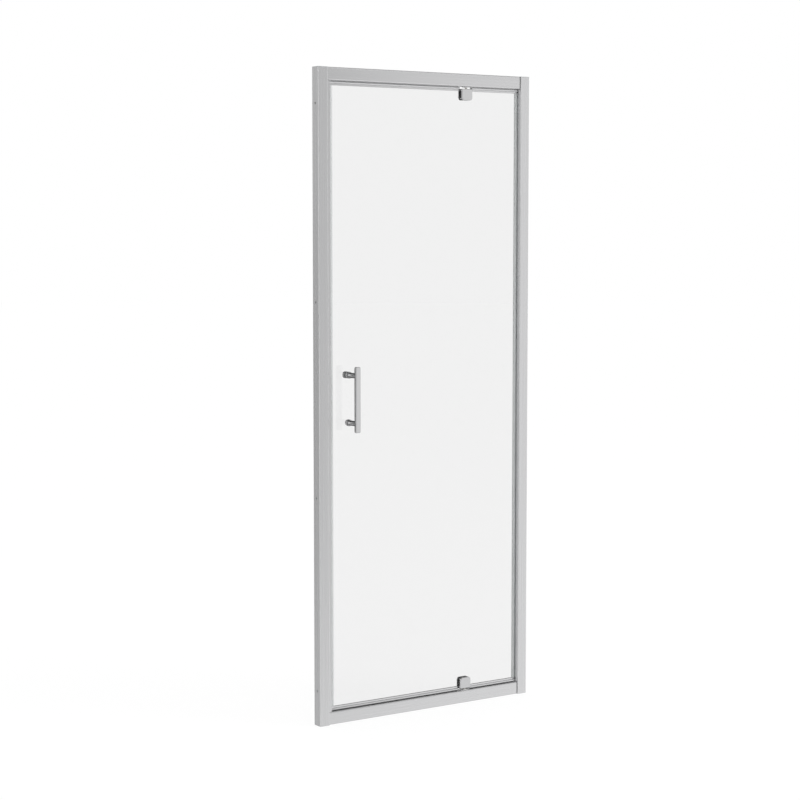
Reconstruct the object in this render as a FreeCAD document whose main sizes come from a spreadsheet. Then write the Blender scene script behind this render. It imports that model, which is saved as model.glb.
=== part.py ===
"""Pivot shower door for a 760 mm recess, shown closed and pushed fully into its wall channels.

Site frame used by the sketches: x from the left wall face to the right, y from the front of the
wall channels back into the shower, z up from the tray.  Every piece is then placed so that the
origin lies at the middle of the frame's underside.  All sizes are millimetres.
"""

import FreeCAD, Part
import math
import os

import Sketcher

DOCUMENT = FreeCAD.newDocument("pivot_shower_door")
VECTOR = FreeCAD.Vector
NODES = []

# alias, millimetres, what it is
DIMENSIONS = (
    ("frame_width", 734.0, "overall width with both wall channels pushed in"),
    ("frame_height", 1850.0, "overall height"),
    ("frame_depth", 33.0, "depth of a wall channel"),
    ("slack", 0.1, "play between pieces that are put together"),
    ("moving_gap", 0.3, "gap between pieces that pass each other"),
    # wall channels
    ("channel_face", 31.5, "width of a wall channel seen from the front"),
    ("channel_wall", 1.8, "wall of a wall channel"),
    ("lip_width", 3.0, "thickened band along each free edge of a channel"),
    ("lip_wall", 2.7, "thickness of that band"),
    ("channel_round", 1.6, "rounding of the channel's outer edges"),
    ("wall_hole_radius", 2.5, "hole for a wall screw"),
    ("wall_hole_first", 100.0, "height of the lowest wall screw"),
    ("wall_hole_step", 550.0, "distance between wall screws"),
    ("cap_thick", 1.6, "end cap on top of a channel"),
    ("tongue_drop", 6.0, "depth of the end cap's tongue"),
    ("tongue_thick", 1.5, "thickness of the end cap's tongue"),
    ("tongue_inset", 6.0, "tongue's ends from the cap's front and back"),
    # adjusters
    ("adjuster_across", 10.5, "adjuster screw from the wall when pushed in"),
    ("adjuster_first", 200.0, "height of the lowest adjuster"),
    ("adjuster_step", 725.0, "distance between adjusters"),
    ("adjuster_travel", 13.0, "how far a channel pulls out"),
    ("adjuster_slot", 2.6, "half width of the adjuster slot"),
    ("adjuster_shank", 2.0, "radius of the adjuster screw"),
    ("adjuster_reach", 8.0, "adjuster screw forwards from the channel's back"),
    ("adjuster_head", 4.0, "radius of the adjuster screw's head"),
    ("adjuster_head_thick", 2.2, "adjuster screw's head"),
    ("button_radius", 6.0, "snap cap over an adjuster screw"),
    ("button_crown", 5.0, "radius of the snap cap's flat crown"),
    ("button_side", 2.6, "straight side of the snap cap"),
    ("button_bevel", 1.0, "bevel of the snap cap"),
    # rails and jambs
    ("recess", 3.0, "rail faces behind the channel fronts"),
    ("profile_depth", 27.0, "depth of the rails and jambs"),
    ("profile_wall", 1.4, "wall of the rails and jambs"),
    ("jamb_start", 4.0, "jamb's wall side from the wall face"),
    ("jamb_end", 33.0, "where a jamb box ends and a rail begins"),
    ("jamb_short", 2.2, "jamb top below the frame top"),
    ("nose_edge", 39.6, "door side of the strike nose"),
    ("nose_back", 12.2, "rear of the strike nose"),
    ("stop_front", 22.6, "front of the stop leg behind the door edge"),
    ("stop_edge", 46.0, "free edge of the stop leg"),
    ("stop_thick", 1.5, "thickness of the stop leg"),
    ("carrier_wall", 1.2, "wall of the strike magnet's carrier"),
    ("rebate_width", 3.0, "rebate down the hinge jamb's front corner, beside the rail ends"),
    ("rebate_depth", 6.0, "depth of that rebate"),
    ("rail_height", 37.0, "height of a rail"),
    ("rail_round", 4.0, "rounding of a rail's front edges"),
    ("rail_rear_round", 1.0, "rounding of a rail's rear edges"),
    ("port_back", 25.0, "screw port from the channel front"),
    ("port_low", 9.0, "lower screw port above the rail's outer face"),
    ("port_high", 28.0, "upper screw port above the rail's outer face"),
    ("port_outside", 3.9, "outer radius of a screw port"),
    ("corner_shank", 2.0, "radius of a corner screw"),
    ("corner_length", 21.8, "corner screw under its head"),
    ("corner_head", 3.4, "radius of a corner screw's head"),
    ("corner_head_thick", 2.4, "corner screw's head"),
    ("access_radius", 4.0, "hole that a corner screw's head passes through"),
    # pivots
    ("pivot_across", 510.0, "pivot axis from the left edge"),
    ("pivot_back", 10.2, "pivot axis from the channel front"),
    ("pin_radius", 3.0, "pivot pin"),
    ("pin_length", 34.0, "pivot pin"),
    ("pin_drop", 9.0, "pin reaches this far below the rail's ledge"),
    ("pin_bevel", 0.6, "bevel at the pin's ends"),
    ("press_gap", 0.02, "pin to block, on the radius"),
    ("running_gap", 0.05, "pin to bush, on the radius"),
    ("shoe_reach", 8.0, "half length of the pivot shoe between its round ends"),
    ("shoe_radius", 5.5, "round ends of the pivot shoe"),
    ("shoe_thick", 2.0, "pivot shoe"),
    ("shoe_pitch", 9.5, "shoe screw from the pivot axis"),
    ("shoe_shank", 1.5, "radius of a shoe screw"),
    ("shoe_head", 2.9, "radius of a shoe screw's countersunk head"),
    ("shoe_head_thick", 1.4, "shoe screw's countersunk head"),
    ("shoe_screw_length", 11.8, "shoe screw with its head"),
    ("bush_outside", 4.2, "pivot bush"),
    ("bush_depth", 10.0, "bush reaches this far below the ledge"),
    ("bush_flange", 5.0, "flange of the pivot bush"),
    ("bush_flange_thick", 0.9, "flange of the pivot bush"),
    ("anchor_length", 34.0, "anchor plate inside a rail"),
    ("anchor_width", 13.0, "anchor plate inside a rail"),
    ("anchor_thick", 4.0, "anchor plate inside a rail"),
    ("anchor_bevel", 2.4, "bevel that clears the rail's rounded edge"),
    ("block_width", 38.0, "pivot block"),
    ("block_height", 33.0, "pivot block"),
    ("block_front", 3.5, "front of a pivot block"),
    ("block_corner", 8.0, "rounded corners away from the rail"),
    ("block_foot", 3.0, "rounded corners beside the rail"),
    ("block_edge", 2.4, "rounding round the block's face"),
    ("gasket_thick", 1.0, "gasket between glass and metal"),
    ("gasket_inset", 0.5, "gasket's edge inside the block's edge"),
    ("plate_thick", 4.0, "rear clamp plate"),
    ("plate_edge", 1.5, "rounding round the rear plate's face"),
    ("clamp_pitch", 11.0, "clamp screw from the pivot axis"),
    ("clamp_height", 16.5, "clamp screw above the block's foot"),
    ("clamp_shank", 2.0, "radius of a clamp screw"),
    ("clamp_head", 3.8, "radius of a clamp screw's countersunk head"),
    ("clamp_head_thick", 1.8, "clamp screw's countersunk head"),
    ("clamp_reach", 6.0, "clamp screw into the block"),
    # door leaf
    ("glass_left", 48.0, "left edge of the glass"),
    ("glass_right", 697.5, "right edge of the glass"),
    ("glass_front", 15.0, "front face of the glass"),
    ("glass_thick", 5.0, "thickness of the glass"),
    ("glass_gap", 6.0, "glass edge to rail"),
    ("glass_arris", 0.6, "ground edge of the glass"),
    ("glass_hole", 5.0, "radius of a pivot hole in the glass"),
    ("trim_start", 41.0, "left end of the long trims"),
    ("trim_end", 698.0, "right end of the short trims"),
    ("trim_clear", 22.0, "trims stop this far from the pivot axis"),
    ("trim_foot", 38.0, "underside of the edge trim"),
    ("trim_leg_top", 49.3, "edge trim's legs on the glass"),
    ("trim_leg", 1.4, "thickness of the edge trim's legs"),
    ("trim_bevel", 1.0, "rear lower edge of the trim"),
    ("trim_bead", 3.5, "radius of the edge trim's bead"),
    ("trim_hollow", 1.7, "radius of the hollow in the bead"),
    ("hollow_ahead", 0.7, "hollow's centre in front of the trim's leg"),
    ("groove_front", 17.0, "front of the wiper's groove"),
    ("groove_width", 2.0, "wiper's groove"),
    ("groove_depth", 2.2, "wiper's groove"),
    ("wiper_tip", 37.35, "tip of the wiper above the rail's outer face"),
    ("wiper_slope", 0.5, "wiper's sides draw in this far to the tip"),
    ("seal_leg", 1.1, "thickness of the edge seals' legs"),
    ("seal_web", 1.2, "thickness of the edge seals' webs"),
    ("seal_grip", 6.0, "edge seals' legs along the glass"),
    ("tube_width", 6.4, "closing seal's tube to the left of its web"),
    ("tube_bulge", 0.6, "tube beyond the legs, front and back"),
    ("tube_wall", 1.0, "wall of the closing seal's tube"),
    ("fin_reach", 1.6, "hinge seal's fin to the right of its web"),
    ("fin_root", 1.4, "thickness of the fin at its root"),
    ("fin_tip", 0.8, "thickness of the fin at its tip"),
    ("fin_back", 16.6, "front of the fin's root"),
    ("fin_lean", 1.0, "fin leans forwards by this"),
    # handle
    ("handle_across", 106.0, "handle from the left edge"),
    ("handle_middle", 925.5, "handle's middle above the tray"),
    ("handle_pitch", 135.0, "distance between the handle's posts"),
    ("handle_length", 186.0, "length of the grip bar"),
    ("bar_width", 17.0, "grip bar seen from the front"),
    ("bar_depth", 8.5, "grip bar front to back"),
    ("bar_back", 28.5, "grip bar's back in front of the channels"),
    ("bar_corner", 4.0, "rounded corners at the bar's ends"),
    ("bar_front_round", 2.4, "rounding round the bar's front"),
    ("bar_back_round", 1.4, "rounding round the bar's back"),
    ("post_radius", 7.5, "handle post"),
    ("spigot_radius", 4.0, "post's spigot in the bar"),
    ("spigot_length", 4.0, "post's spigot in the bar"),
    ("tapped_depth", 15.0, "tapped hole in a post"),
    ("rose_radius", 10.0, "rose at the foot of a post"),
    ("rose_thick", 5.0, "rose at the foot of a post"),
    ("rose_bevel", 1.0, "bevel of the rose"),
    ("washer_radius", 9.4, "washer under a rose"),
    ("rear_washer", 7.4, "washer under the knob and the screw cap"),
    ("stud_radius", 2.5, "stud through the glass"),
    ("stud_depth", 13.0, "stud into a post"),
    ("stud_in_knob", 8.0, "stud into the inside knob"),
    ("stud_in_cap", 2.5, "stud into the lower screw cap"),
    ("sleeve_radius", 6.0, "handle hole in the glass"),
    ("knob_radius", 10.0, "inside knob"),
    ("knob_length", 14.0, "inside knob with its neck"),
    ("knob_neck", 4.0, "neck of the inside knob"),
    ("knob_bevel", 1.4, "bevels of the knob and the screw cap"),
    ("screw_cap_radius", 8.0, "lower screw cap"),
    ("screw_cap_thick", 4.0, "lower screw cap"),
)


class Size:
    """A length that knows its value and the sheet expression that it comes from."""

    def __init__(self, value, text):
        self.value = float(value)
        self.text = text

    def joined(self, sign, other, value):
        return Size(value, "(%s %s %s)" % (self.text, sign, other.text))

    def __add__(self, other):
        other = as_size(other)
        return self.joined("+", other, self.value + other.value)

    def __sub__(self, other):
        other = as_size(other)
        return self.joined("-", other, self.value - other.value)

    def __mul__(self, factor):
        factor = as_size(factor)
        return self.joined("*", factor, self.value * factor.value)

    def __truediv__(self, divisor):
        divisor = as_size(divisor)
        return self.joined("/", divisor, self.value / divisor.value)

    def __neg__(self):
        return Size(-self.value, "(-1 * %s)" % self.text)


def as_size(number):
    if isinstance(number, Size):
        return number
    return Size(number, repr(float(number)))


class Dimensions:
    """The dimension sheet: each alias is an attribute."""

    def __init__(self):
        self.sheet = DOCUMENT.addObject("Spreadsheet::Sheet", "Dims")
        for row, (alias, value, meaning) in enumerate(DIMENSIONS, start=1):
            self.sheet.set("A%d" % row, meaning)
            self.sheet.set("B%d" % row, str(value))
            self.sheet.setAlias("B%d" % row, alias)
            setattr(self, alias, Size(value, "Dims." + alias))
        DOCUMENT.recompute()


D = Dimensions()

# places that several pieces share
MID_WIDTH = D.frame_width / 2
MID_DEPTH = D.frame_depth / 2
PROFILE_BACK = D.recess + D.profile_depth
LEDGE = D.rail_height
GLASS_BACK = D.glass_front + D.glass_thick
GLASS_FOOT = D.rail_height + D.glass_gap
GLASS_HEAD = D.frame_height - GLASS_FOOT
SEAL_FOOT = D.trim_leg_top + D.slack
SEAL_LENGTH = D.frame_height - SEAL_FOOT * 2
BLOCK_BACK = D.glass_front - D.gasket_thick
PLATE_FRONT = GLASS_BACK + D.gasket_thick
PLATE_BACK = PLATE_FRONT + D.plate_thick
CLAMP_LEVEL = GLASS_FOOT + D.clamp_height
SHOE_TOP = LEDGE + D.shoe_thick
SHOE_SCREWS = (D.pivot_across - D.shoe_pitch, D.pivot_across + D.shoe_pitch)
CLAMP_SCREWS = (D.pivot_across - D.clamp_pitch, D.pivot_across + D.clamp_pitch)
BUSH_HOLE = D.bush_outside + D.slack / 2
STUD_HOLE = D.stud_radius + D.slack
ROSE_FRONT = BLOCK_BACK - D.rose_thick
LOW_POST = D.handle_middle - D.handle_pitch / 2
HIGH_POST = D.handle_middle + D.handle_pitch / 2


def bind(thing, name, size):
    thing.setExpression(name, as_size(size).text)


def node(label, thing):
    """Names a finished sub-part, so that it is checked and written."""
    thing.Label = label
    NODES.append(thing)
    return thing


# ---- sketches ----


def new_body(name):
    body = DOCUMENT.addObject("PartDesign::Body", name)
    bind(body, "Placement.Base.x", -MID_WIDTH)
    bind(body, "Placement.Base.y", -MID_DEPTH)
    return body


def new_sketch(body, role, at):
    """A sketch on an origin plane moved to x, y or z = at; XZ sketches face the front."""
    sketch = body.newObject("Sketcher::SketchObject", body.Name + "_sketch")
    plane = next(item for item in body.Origin.OriginFeatures if item.Role == role)
    sketch.AttachmentSupport = (plane, [""])
    sketch.MapMode = "FlatFace"
    offset = -as_size(at) if role == "XZ_Plane" else as_size(at)
    bind(sketch, "AttachmentOffset.Base.z", offset)
    return sketch


def hold(sketch, kind, geometry, point, size):
    """One dimension from the sketch's origin to a point, bound to the sheet."""
    size = as_size(size)
    index = sketch.addConstraint(Sketcher.Constraint(kind, -1, 1, geometry, point, size.value))
    name = "%s%d" % (kind, index)
    sketch.renameConstraint(index, name)
    bind(sketch, "Constraints." + name, size)


def hold_radius(sketch, geometry, size):
    size = as_size(size)
    index = sketch.addConstraint(Sketcher.Constraint("Radius", geometry, size.value))
    sketch.renameConstraint(index, "Radius%d" % index)
    bind(sketch, "Constraints.Radius%d" % index, size)


def outline(sketch, corners):
    """A closed outline of straight lines; corners are pairs of sizes."""
    corners = [(as_size(across), as_size(along)) for across, along in corners]
    points = [VECTOR(across.value, along.value, 0) for across, along in corners]
    lines = []
    for start, end in zip(points, points[1:] + points[:1]):
        lines.append(sketch.addGeometry(Part.LineSegment(start, end), False))
    for line, following in zip(lines, lines[1:] + lines[:1]):
        sketch.addConstraint(Sketcher.Constraint("Coincident", line, 2, following, 1))
    for line, (across, along) in zip(lines, corners):
        hold(sketch, "DistanceX", line, 1, across)
        hold(sketch, "DistanceY", line, 1, along)


def box_corners(left, low, right, high):
    return [(left, low), (right, low), (right, high), (left, high)]


def inset(corners, by):
    """Box corners drawn in on all four sides."""
    (left, low), (right, high) = corners[0], corners[2]
    return box_corners(left + by, low + by, right - by, high - by)


def circle(sketch, across, along, radius):
    centre = VECTOR(as_size(across).value, as_size(along).value, 0)
    ring = Part.Circle(centre, VECTOR(0, 0, 1), as_size(radius).value)
    index = sketch.addGeometry(ring, False)
    hold_radius(sketch, index, radius)
    hold(sketch, "DistanceX", index, 3, across)
    hold(sketch, "DistanceY", index, 3, along)


def half_arc(sketch, start, end, centre):
    """A half circle, anticlockwise from start to end, whose centre is held and ends are not."""
    middle = VECTOR(as_size(centre[0]).value, as_size(centre[1]).value, 0)
    first = VECTOR(as_size(start[0]).value, as_size(start[1]).value, 0) - middle
    last = VECTOR(as_size(end[0]).value, as_size(end[1]).value, 0) - middle
    ring = Part.Circle(middle, VECTOR(0, 0, 1), first.Length)
    flat = VECTOR(1, 0, 0)
    first_angle = flat.getAngle(first) * (1 if first.y >= 0 else -1)
    last_angle = flat.getAngle(last) * (1 if last.y >= 0 else -1)
    return sketch.addGeometry(Part.ArcOfCircle(ring, first_angle, last_angle), False)


def slot(sketch, left, right, level, radius):
    """A level slot with round ends about (left, level) and (right, level)."""
    left, right, level, radius = [as_size(size) for size in (left, right, level, radius)]
    low = level - radius
    high = level + radius
    bottom = sketch.addGeometry(
        Part.LineSegment(VECTOR(left.value, low.value, 0), VECTOR(right.value, low.value, 0)), False
    )
    right_end = half_arc(sketch, (right, low), (right, high), (right, level))
    top = sketch.addGeometry(
        Part.LineSegment(VECTOR(right.value, high.value, 0), VECTOR(left.value, high.value, 0)), False
    )
    left_end = half_arc(sketch, (left, high), (left, low), (left, level))
    ring = [bottom, right_end, top, left_end]
    for piece, following in zip(ring, ring[1:] + ring[:1]):
        sketch.addConstraint(Sketcher.Constraint("Tangent", piece, 2, following, 1))
    hold(sketch, "DistanceX", left_end, 3, left)
    hold(sketch, "DistanceY", left_end, 3, level)
    hold(sketch, "DistanceX", right_end, 3, right)
    hold_radius(sketch, right_end, radius)
    sketch.addConstraint(Sketcher.Constraint("Horizontal", bottom))


def bead(sketch, root, low, high):
    """A half disc that bulges to the left of the upright line at root."""
    root, low, high = as_size(root), as_size(low), as_size(high)
    middle = (low + high) / 2
    line = sketch.addGeometry(
        Part.LineSegment(VECTOR(root.value, low.value, 0), VECTOR(root.value, high.value, 0)), False
    )
    arc = half_arc(sketch, (root, high), (root, low), (root, middle))
    sketch.addConstraint(Sketcher.Constraint("Coincident", line, 2, arc, 1))
    sketch.addConstraint(Sketcher.Constraint("Coincident", arc, 2, line, 1))
    hold(sketch, "DistanceX", line, 1, root)
    hold(sketch, "DistanceY", line, 1, low)
    hold(sketch, "DistanceX", line, 2, root)
    hold(sketch, "DistanceY", line, 2, high)
    hold(sketch, "DistanceX", arc, 3, root)


# ---- features ----


def pad(body, sketch, length, reverse=False):
    """Material along the sketch's normal, or against it when reversed."""
    feature = body.newObject("PartDesign::Pad", body.Name + "_pad")
    feature.Profile = sketch
    feature.Reversed = reverse
    bind(feature, "Length", length)
    DOCUMENT.recompute()
    return feature


def cut(body, sketch, depth, along_normal=False):
    """A pocket against the sketch's normal, or along it; one that cuts nothing is an error."""
    before = body.Shape.Volume
    feature = body.newObject("PartDesign::Pocket", body.Name + "_pocket")
    feature.Profile = sketch
    feature.Reversed = along_normal
    bind(feature, "Length", depth)
    DOCUMENT.recompute()
    if not body.Shape.Volume < before - 0.01:
        raise RuntimeError("%s: a pocket cuts nothing" % body.Name)
    return feature


def dress(body, kind, size, chosen):
    """A Fillet or Chamfer on the edges of the body for which chosen(edge, box) is true."""
    tip = body.Tip
    names = []
    for index, edge in enumerate(tip.Shape.Edges, start=1):
        if chosen(edge, tip.Shape.BoundBox):
            names.append("Edge%d" % index)
    if not names:
        raise RuntimeError("%s: no edge for its %s" % (body.Name, kind))
    feature = body.newObject("PartDesign::" + kind, body.Name + "_" + kind.lower())
    feature.Base = (tip, names)
    bind(feature, "Radius" if kind == "Fillet" else "Size", size)
    DOCUMENT.recompute()
    return feature


def close(one, other):
    return abs(one - other) < 0.01


def middle_of(edge):
    return edge.BoundBox.Center


def runs(edge, axis):
    """True for a straight edge along that axis."""
    box = edge.BoundBox
    across = {"x": (box.YLength, box.ZLength), "y": (box.XLength, box.ZLength),
              "z": (box.XLength, box.YLength)}[axis]
    return max(across) < 0.01


def corner_upright(edge, box):
    """An upright edge at one of the four outer corners of the plan."""
    middle = middle_of(edge)
    at_side = close(middle.x, box.XMin) or close(middle.x, box.XMax)
    at_face = close(middle.y, box.YMin) or close(middle.y, box.YMax)
    return runs(edge, "z") and at_side and at_face


def on_front(edge, box):
    return close(edge.BoundBox.YMin, box.YMin) and edge.BoundBox.YLength < 0.01


def on_back(edge, box):
    return close(edge.BoundBox.YMax, box.YMax) and edge.BoundBox.YLength < 0.01


def is_ring(edge, radius):
    """True for a whole circle of that radius."""
    across = as_size(radius).value * 2
    return close(edge.Length, math.pi * across)


def extrusion(name, role, start, length, sections, reverse=False):
    """One pad of the outlines in sections; an outline inside another is a hollow."""
    body = new_body(name)
    sketch = new_sketch(body, role, start)
    for corners in sections:
        outline(sketch, corners)
    pad(body, sketch, length, reverse)
    return body


# ---- primitives, mirrors and groups ----

TURNS = {
    "x": FreeCAD.Rotation(VECTOR(0, 1, 0), 90),
    "y": FreeCAD.Rotation(VECTOR(1, 0, 0), -90),
    "z": FreeCAD.Rotation(),
}


def place(thing, across, back, level, axis):
    thing.Placement = FreeCAD.Placement(VECTOR(), TURNS[axis])
    bind(thing, "Placement.Base.x", as_size(across) - MID_WIDTH)
    bind(thing, "Placement.Base.y", as_size(back) - MID_DEPTH)
    bind(thing, "Placement.Base.z", level)
    return thing


def rod(radius, length, at, axis):
    """A plain cylinder that starts at the point and runs along the axis."""
    thing = DOCUMENT.addObject("Part::Cylinder", "rod")
    bind(thing, "Radius", radius)
    bind(thing, "Height", length)
    return place(thing, at[0], at[1], at[2], axis)


def taper(first, last, length, at, axis):
    thing = DOCUMENT.addObject("Part::Cone", "taper")
    bind(thing, "Radius1", first)
    bind(thing, "Radius2", last)
    bind(thing, "Height", length)
    return place(thing, at[0], at[1], at[2], axis)


def joined(shapes):
    thing = DOCUMENT.addObject("Part::MultiFuse", "joined")
    thing.Shapes = shapes
    DOCUMENT.recompute()
    return thing


def without(base, tool):
    thing = DOCUMENT.addObject("Part::Cut", "cut")
    thing.Base = base
    thing.Tool = tool
    DOCUMENT.recompute()
    return thing


def group(things):
    thing = DOCUMENT.addObject("Part::Compound", "group")
    thing.Links = things
    DOCUMENT.recompute()
    return thing


def mirrored(source, axis):
    """The same piece on the other side: axis x for left and right, z for bottom and top."""
    thing = DOCUMENT.addObject("Part::Mirroring", "mirrored")
    thing.Source = source
    thing.Normal = VECTOR(1, 0, 0) if axis == "x" else VECTOR(0, 0, 1)
    if axis == "z":
        bind(thing, "Base.z", D.frame_height / 2)
    DOCUMENT.recompute()
    return thing


def bottom_and_top(name, bottom):
    node("bottom_" + name, bottom)
    node("top_" + name, mirrored(bottom, "z"))


# ---- wall channels ----


ADJUSTERS = 3
WALL_HOLES = 4


def adjuster_levels():
    return [D.adjuster_first + D.adjuster_step * count for count in range(ADJUSTERS)]


def wall_channel():
    """U channel screwed to the wall, with thickened lips that hide the gap beside the jamb."""
    edge = D.channel_face
    band = D.channel_face - D.lip_width
    back = D.frame_depth
    wall = D.channel_wall
    corners = [
        (0, 0), (edge, 0), (edge, D.lip_wall), (band, D.lip_wall), (band, wall), (wall, wall),
        (wall, back - wall), (band, back - wall), (band, back - D.lip_wall),
        (edge, back - D.lip_wall), (edge, back), (0, back),
    ]
    body = extrusion("channel", "XY_Plane", 0, D.frame_height - D.cap_thick, [corners])
    dress(body, "Fillet", D.channel_round, corner_upright)
    holes = new_sketch(body, "YZ_Plane", 0)
    for count in range(WALL_HOLES):
        circle(holes, MID_DEPTH, D.wall_hole_first + D.wall_hole_step * count, D.wall_hole_radius)
    cut(body, holes, wall, along_normal=True)
    slots = new_sketch(body, "XZ_Plane", back)
    for level in adjuster_levels():
        slot(slots, D.adjuster_across, D.adjuster_across + D.adjuster_travel, level, D.adjuster_slot)
    cut(body, slots, wall, along_normal=True)
    return body


def channel_cap():
    """Moulded cap that closes the channel's top, with a tongue against its web."""
    under = D.frame_height - D.cap_thick
    plate = box_corners(0, 0, D.channel_face, D.frame_depth)
    body = extrusion("channel_cap", "XY_Plane", under, D.cap_thick, [plate])
    dress(body, "Fillet", D.channel_round, corner_upright)
    tongue = new_sketch(body, "XY_Plane", under)
    inner = D.channel_wall + D.slack / 2
    outline(tongue, box_corners(
        inner, D.tongue_inset, inner + D.tongue_thick, D.frame_depth - D.tongue_inset
    ))
    pad(body, tongue, D.tongue_drop, reverse=True)
    return body


def adjuster_screw(level):
    """Pan head screw that clamps the channel's rear flange to the jamb, through the slot."""
    at = D.adjuster_across
    seat = D.frame_depth + D.moving_gap
    length = D.adjuster_reach + D.moving_gap
    shank = rod(D.adjuster_shank, length + D.slack, (at, seat - length, level), "y")
    head = rod(D.adjuster_head, D.adjuster_head_thick, (at, seat, level), "y")
    return joined([shank, head])


def adjuster_cap(level):
    """Snap-on cap over the adjuster screw's head."""
    front = D.frame_depth + D.moving_gap + D.slack
    rim = (D.adjuster_across, front, level)
    shoulder = (D.adjuster_across, front + D.button_side, level)
    shell = joined([
        rod(D.button_radius, D.button_side, rim, "y"),
        taper(D.button_radius, D.button_crown, D.button_bevel, shoulder, "y"),
    ])
    return without(shell, rod(D.adjuster_head + D.slack, D.adjuster_head_thick + D.slack, rim, "y"))


def wall_side():
    channel = wall_channel()
    cap = channel_cap()
    screws = group([adjuster_screw(level) for level in adjuster_levels()])
    caps = group([adjuster_cap(level) for level in adjuster_levels()])
    pairs = (
        ("wall_channel", channel),
        ("channel_cap", cap),
        ("adjuster_screws", screws),
        ("adjuster_caps", caps),
    )
    for name, left in pairs:
        node("left_" + name, left)
        node("right_" + name, mirrored(left, "x"))


# ---- frame ----


def port_levels():
    """The four screw ports' heights, two in each rail."""
    low = [D.port_low, D.port_high]
    return low + [D.frame_height - level for level in low]


def jamb_outline():
    return box_corners(D.jamb_start, D.recess, D.jamb_end, PROFILE_BACK)


def jamb_box(name, outer, inner):
    """Hollow upright that slides in the wall channel and carries the rails."""
    wall = D.profile_wall
    body = extrusion(name, "XY_Plane", 0, D.frame_height - D.jamb_short, [outer, inner])
    access = new_sketch(body, "YZ_Plane", D.jamb_start)
    for level in port_levels():
        circle(access, D.port_back, level, D.access_radius)
    cut(body, access, wall, along_normal=True)
    clearance = new_sketch(body, "YZ_Plane", D.jamb_end)
    for level in port_levels():
        circle(clearance, D.port_back, level, D.corner_shank + D.slack * 2)
    cut(body, clearance, wall)
    adjusters = new_sketch(body, "XZ_Plane", PROFILE_BACK)
    for level in adjuster_levels():
        circle(adjusters, D.adjuster_across, level, D.adjuster_shank + D.slack)
    cut(body, adjusters, wall, along_normal=True)
    return body


def rebated(corners):
    """Box corners whose right lower one, the front corner beside the rails, is cut back."""
    (left, low), (right, high) = corners[0], corners[2]
    across = right - D.rebate_width
    along = low + D.rebate_depth
    return [(left, low), (across, low), (across, along), (right, along), (right, high), (left, high)]


def hinge_jamb():
    """Jamb on the pivot side, drawn on the left; its rebate leaves a dark slot at the rail ends."""
    outer = jamb_outline()
    inner = inset(outer, D.profile_wall)
    return jamb_box("hinge_jamb", rebated(outer), rebated(inner))


def strike_jamb():
    """Jamb on the closing side: a hollow nose, a pocket for the magnet and a stop leg."""
    wall = D.profile_wall
    outer = jamb_outline()
    body = jamb_box("left_jamb", outer, inset(outer, wall))
    nose = new_sketch(body, "XY_Plane", LEDGE)
    outline(nose, box_corners(D.jamb_end, D.recess, D.nose_edge, D.nose_back))
    outline(nose, box_corners(
        D.jamb_end + wall, D.recess + wall, D.nose_edge - wall, D.nose_back - wall
    ))
    outline(nose, box_corners(
        D.jamb_end, D.stop_front, D.stop_edge, D.stop_front + D.stop_thick
    ))
    pad(body, nose, D.frame_height - LEDGE * 2)
    return body


def bottom_rail():
    """Hollow rail with two screw ports along its rear wall and holes for the pivot."""
    wall = D.profile_wall
    length = D.frame_width - D.jamb_end * 2
    body = new_body("bottom_rail")
    section = new_sketch(body, "YZ_Plane", D.jamb_end)
    outline(section, box_corners(D.recess, 0, PROFILE_BACK, LEDGE))
    outline(section, box_corners(D.recess + wall, wall, PROFILE_BACK - wall, LEDGE - wall))
    pad(body, section, length)
    dress(body, "Fillet", D.rail_round,
          lambda edge, box: runs(edge, "x") and close(middle_of(edge).y, box.YMin))
    inner_front = (D.recess + wall).value
    dress(body, "Fillet", D.rail_round - wall,
          lambda edge, box: runs(edge, "x") and close(middle_of(edge).y, inner_front))
    dress(body, "Fillet", D.rail_rear_round,
          lambda edge, box: runs(edge, "x") and close(middle_of(edge).y, box.YMax))
    bosses = new_sketch(body, "YZ_Plane", D.jamb_end)
    for level in (D.port_low, D.port_high):
        circle(bosses, D.port_back, level, D.port_outside)
    pad(body, bosses, length)
    bores = new_sketch(body, "YZ_Plane", D.jamb_end)
    for level in (D.port_low, D.port_high):
        circle(bores, D.port_back, level, D.corner_shank + D.slack)
    cut(body, bores, length, along_normal=True)
    pivot_holes(body, LEDGE, D.shoe_shank + D.slack, D.rail_round)
    return body


def pivot_holes(body, top, screw_radius, depth):
    """The bush's hole and a screw hole each side of it, cut downwards from z = top."""
    sketch = new_sketch(body, "XY_Plane", top)
    circle(sketch, D.pivot_across, D.pivot_back, BUSH_HOLE)
    for across in SHOE_SCREWS:
        circle(sketch, across, D.pivot_back, screw_radius)
    cut(body, sketch, depth)


def corner_screws():
    """Long self-tapping screws from inside the jambs into the rails' screw ports."""
    seat = D.jamb_end - D.profile_wall
    left = []
    for level in port_levels():
        rear = seat - D.corner_head_thick
        head = rod(D.corner_head, D.corner_head_thick, (rear, D.port_back, level), "x")
        length = D.corner_head_thick + D.corner_length
        shank = rod(D.corner_shank, length, (rear, D.port_back, level), "x")
        left.append(joined([head, shank]))
    left = group(left)
    return group([left, mirrored(left, "x")])


def magnet_strip():
    """Carrier profile and magnet that fill the strike jamb's pocket."""
    start = LEDGE + D.slack
    length = D.frame_height - start * 2
    pocket = box_corners(D.jamb_end, D.nose_back, D.nose_edge, D.stop_front)
    outer = inset(pocket, D.slack)
    inner = inset(outer, D.carrier_wall)
    carrier = extrusion("strike_magnet_carrier", "XY_Plane", start, length, [outer, inner])
    magnet = extrusion("strike_magnet", "XY_Plane", start, length, [inset(inner, D.slack)])
    node("strike_magnet_carrier", carrier)
    node("strike_magnet", magnet)


def frame():
    node("left_jamb", strike_jamb())
    node("right_jamb", mirrored(hinge_jamb(), "x"))
    bottom_and_top("rail", bottom_rail())
    node("corner_screws", corner_screws())
    magnet_strip()


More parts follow.
